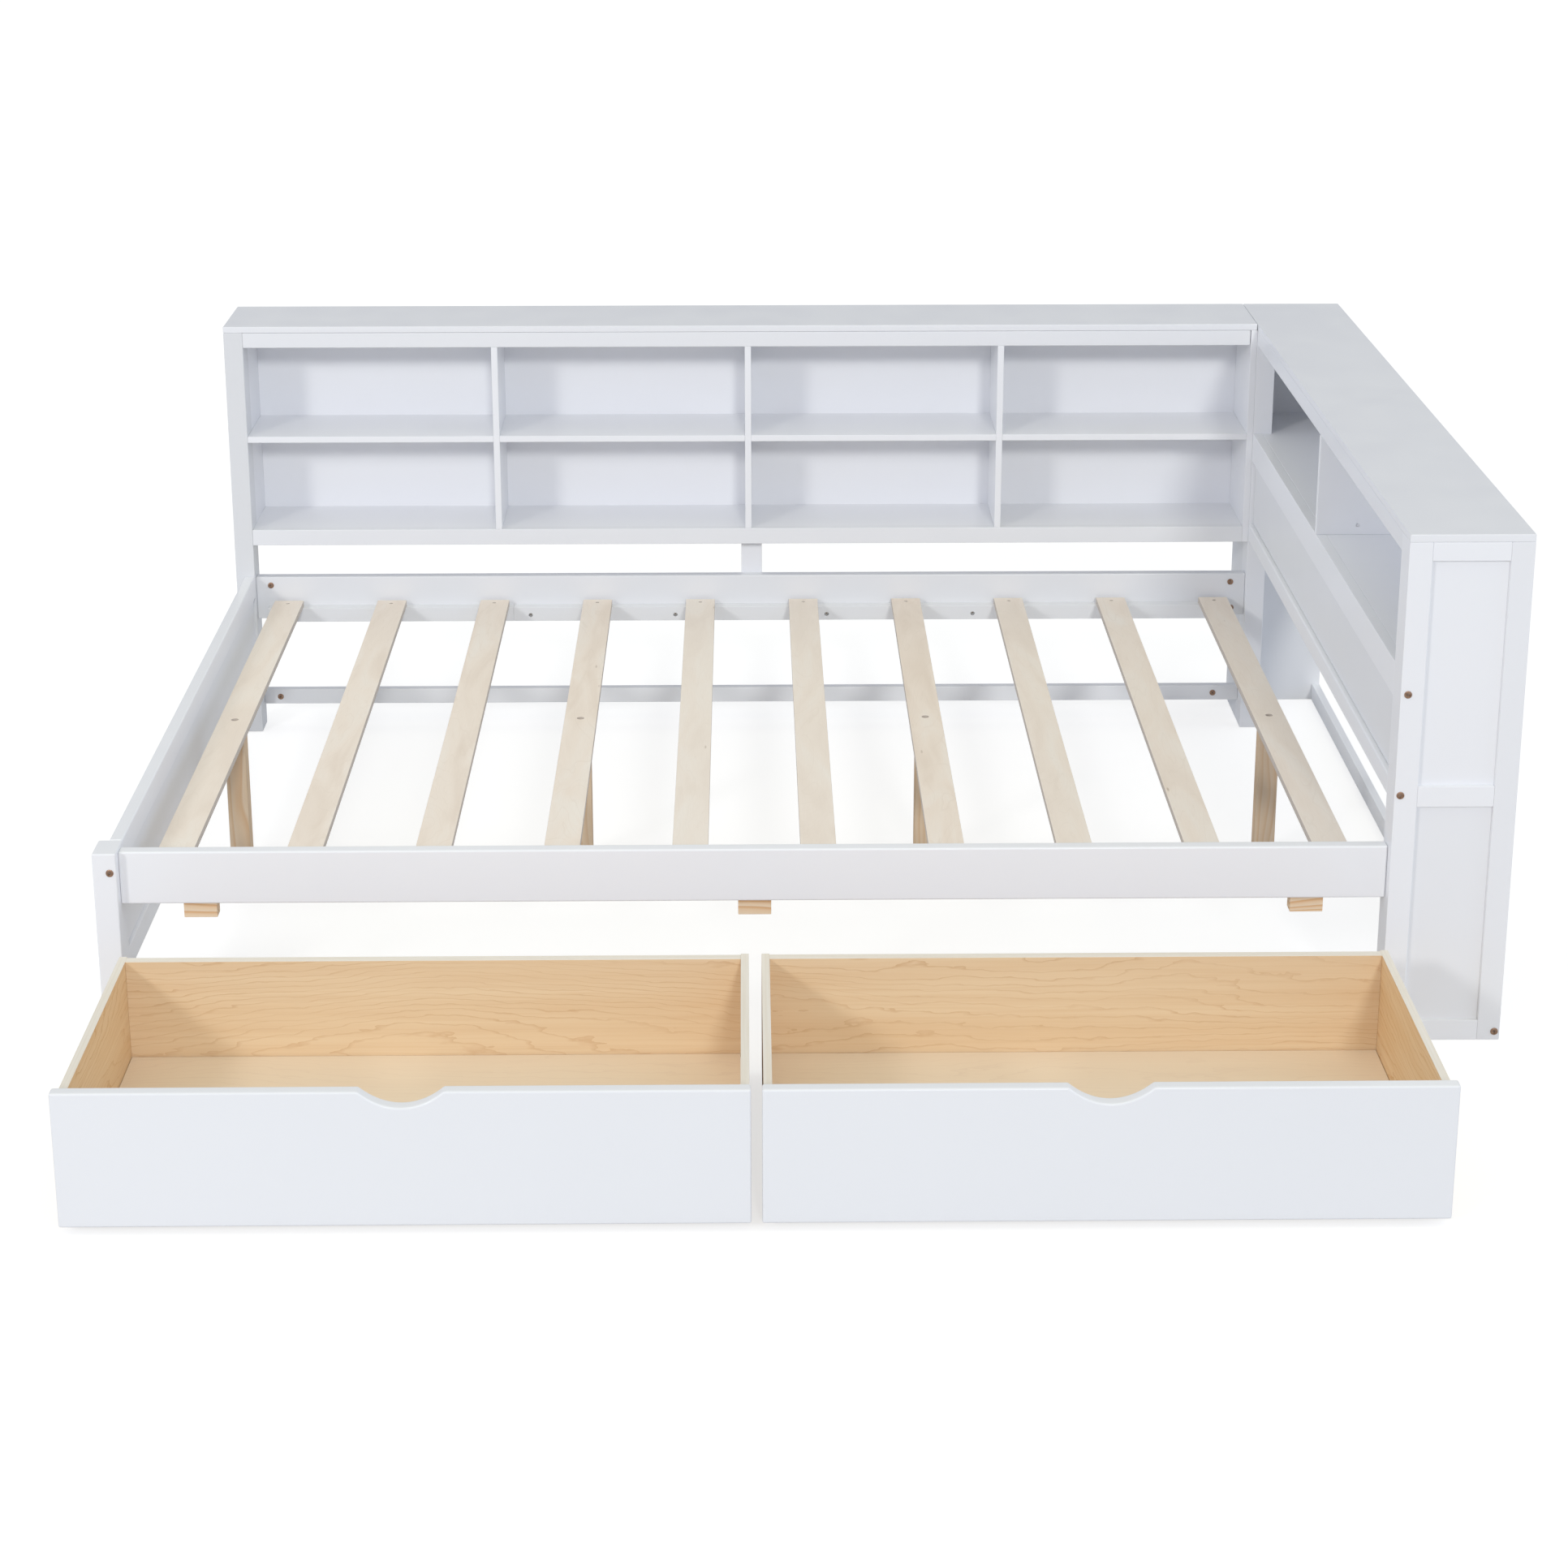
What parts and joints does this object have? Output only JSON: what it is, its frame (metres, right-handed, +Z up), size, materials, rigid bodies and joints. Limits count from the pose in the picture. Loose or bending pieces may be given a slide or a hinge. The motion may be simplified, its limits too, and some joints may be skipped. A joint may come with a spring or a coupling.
{
  "type": "daybed with bookcases and under-bed drawers",
  "caption": "Full-size slatted daybed with open bookcases along its back and head, and rolling drawers under its front rail.",
  "frame": {"origin": "middle of the bed's footprint on the floor, with the drawers pulled out", "axes": "+Z up, +Y towards the long bookcase and the wall behind it, +X towards the headboard bookcase"},
  "size_m": [2.152, 2.188, 0.815],
  "materials": {
    "white_lacquer": "semi-gloss cool white lacquer",
    "birch_ply": "bare sanded birch plywood",
    "raw_pine": "bare sawn pine",
    "maple_laminate": "satin maple-grain laminate",
    "dark_nylon": "dark grey nylon"
  },
  "bodies": {
    "bed": {"front_rail": "white_lacquer", "back_rail": "white_lacquer", "foot_front_post": "white_lacquer", "back_left_post": "white_lacquer", "foot_board": "white_lacquer", "back_stretcher": "white_lacquer", "bookcase_support": "white_lacquer", "bookcase_top_board": "white_lacquer", "bookcase_left_side": "white_lacquer", "bookcase_right_side": "white_lacquer", "bookcase_back_panel": "white_lacquer", "bookcase_bottom_shelf": "white_lacquer", "bookcase_divider_1": "white_lacquer", "bookcase_divider_2": "white_lacquer", "bookcase_divider_3": "white_lacquer", "bookcase_middle_shelf": "white_lacquer", "headboard_front_end": "white_lacquer", "headboard_back_post": "white_lacquer", "headboard_back_end": "white_lacquer", "headboard_top_board": "white_lacquer", "headboard_inner_board": "white_lacquer", "headboard_outer_panel": "white_lacquer", "headboard_outer_stretcher": "white_lacquer", "headboard_shelf": "white_lacquer", "headboard_divider": "white_lacquer", "slat_1": "birch_ply", "slat_2": "birch_ply", "slat_3": "birch_ply", "slat_4": "birch_ply", "slat_5": "birch_ply", "slat_6": "birch_ply", "slat_7": "birch_ply", "slat_8": "birch_ply", "slat_9": "birch_ply", "slat_10": "birch_ply", "centre_leg_1": "raw_pine", "centre_leg_2": "raw_pine", "centre_leg_3": "raw_pine", "centre_leg_4": "raw_pine", "drawer_stop_1": "raw_pine", "drawer_stop_2": "raw_pine", "drawer_stop_3": "raw_pine"},
    "left_drawer": {"left_drawer_front": "white_lacquer", "left_drawer_left_side": "maple_laminate", "left_drawer_right_side": "maple_laminate", "left_drawer_back": "maple_laminate", "left_drawer_bottom": "maple_laminate"},
    "left_drawer_front_left_wheel": {"left_drawer_front_left_wheel": "dark_nylon"},
    "left_drawer_front_right_wheel": {"left_drawer_front_right_wheel": "dark_nylon"},
    "left_drawer_back_left_wheel": {"left_drawer_back_left_wheel": "dark_nylon"},
    "left_drawer_back_right_wheel": {"left_drawer_back_right_wheel": "dark_nylon"},
    "right_drawer": {"right_drawer_front": "white_lacquer", "right_drawer_left_side": "maple_laminate", "right_drawer_right_side": "maple_laminate", "right_drawer_back": "maple_laminate", "right_drawer_bottom": "maple_laminate"},
    "right_drawer_front_left_wheel": {"right_drawer_front_left_wheel": "dark_nylon"},
    "right_drawer_front_right_wheel": {"right_drawer_front_right_wheel": "dark_nylon"},
    "right_drawer_back_left_wheel": {"right_drawer_back_left_wheel": "dark_nylon"},
    "right_drawer_back_right_wheel": {"right_drawer_back_right_wheel": "dark_nylon"}
  },
  "joints": [
    {"name": "left_drawer_slide", "type": "slide", "parent": "bed", "child": "left_drawer", "axis": [0, 1, 0], "range_m": [0, 0.606]},
    {"name": "left_drawer_front_left_wheel_spin", "type": "hinge", "parent": "left_drawer", "child": "left_drawer_front_left_wheel", "pos_m": [-0.991, -1.029, 0.015], "axis": [1, 0, 0], "continuous": true},
    {"name": "left_drawer_front_right_wheel_spin", "type": "hinge", "parent": "left_drawer", "child": "left_drawer_front_right_wheel", "pos_m": [-0.1165, -1.029, 0.015], "axis": [1, 0, 0], "continuous": true},
    {"name": "left_drawer_back_left_wheel_spin", "type": "hinge", "parent": "left_drawer", "child": "left_drawer_back_left_wheel", "pos_m": [-0.991, -0.651, 0.015], "axis": [1, 0, 0], "continuous": true},
    {"name": "left_drawer_back_right_wheel_spin", "type": "hinge", "parent": "left_drawer", "child": "left_drawer_back_right_wheel", "pos_m": [-0.1165, -0.651, 0.015], "axis": [1, 0, 0], "continuous": true},
    {"name": "right_drawer_slide", "type": "slide", "parent": "bed", "child": "right_drawer", "axis": [0, 1, 0], "range_m": [0, 0.606]},
    {"name": "right_drawer_front_left_wheel_spin", "type": "hinge", "parent": "right_drawer", "child": "right_drawer_front_left_wheel", "pos_m": [-0.0335, -1.029, 0.015], "axis": [1, 0, 0], "continuous": true},
    {"name": "right_drawer_front_right_wheel_spin", "type": "hinge", "parent": "right_drawer", "child": "right_drawer_front_right_wheel", "pos_m": [0.841, -1.029, 0.015], "axis": [1, 0, 0], "continuous": true},
    {"name": "right_drawer_back_left_wheel_spin", "type": "hinge", "parent": "right_drawer", "child": "right_drawer_back_left_wheel", "pos_m": [-0.0335, -0.651, 0.015], "axis": [1, 0, 0], "continuous": true},
    {"name": "right_drawer_back_right_wheel_spin", "type": "hinge", "parent": "right_drawer", "child": "right_drawer_back_right_wheel", "pos_m": [0.841, -0.651, 0.015], "axis": [1, 0, 0], "continuous": true}
  ],
  "couplings": [
    {"joint": "left_drawer_front_left_wheel_spin", "follows": "left_drawer_slide", "rad_per_m": -66.667},
    {"joint": "left_drawer_front_right_wheel_spin", "follows": "left_drawer_slide", "rad_per_m": -66.667},
    {"joint": "left_drawer_back_left_wheel_spin", "follows": "left_drawer_slide", "rad_per_m": -66.667},
    {"joint": "left_drawer_back_right_wheel_spin", "follows": "left_drawer_slide", "rad_per_m": -66.667},
    {"joint": "right_drawer_front_left_wheel_spin", "follows": "right_drawer_slide", "rad_per_m": -66.667},
    {"joint": "right_drawer_front_right_wheel_spin", "follows": "right_drawer_slide", "rad_per_m": -66.667},
    {"joint": "right_drawer_back_left_wheel_spin", "follows": "right_drawer_slide", "rad_per_m": -66.667},
    {"joint": "right_drawer_back_right_wheel_spin", "follows": "right_drawer_slide", "rad_per_m": -66.667}
  ]
}
